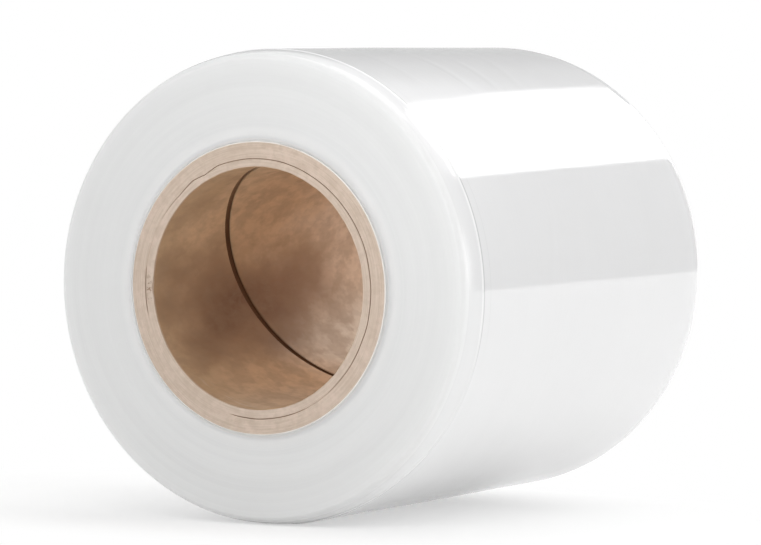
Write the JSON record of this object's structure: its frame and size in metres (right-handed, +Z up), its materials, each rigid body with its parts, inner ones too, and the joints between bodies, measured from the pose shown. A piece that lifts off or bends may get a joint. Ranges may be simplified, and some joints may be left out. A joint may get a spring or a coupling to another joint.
{
  "type": "stretch wrap roll",
  "caption": "Small hand roll of clear stretch wrap film wound on a spiral paperboard core with an open bore, lying on its side.",
  "frame": {"origin": "under the middle of the roll, on the surface that it lies on", "axes": "+Y along the roll's axis from the seen end to the far end, +Z up, +X to the right as seen from the seen end"},
  "size_m": [0.0984, 0.1112, 0.098],
  "materials": {
    "paperboard": "matte",
    "stretch_film": "glossy"
  },
  "bodies": {
    "root": {"core_tube": "paperboard", "film_roll": "stretch_film"}
  },
  "joints": []
}
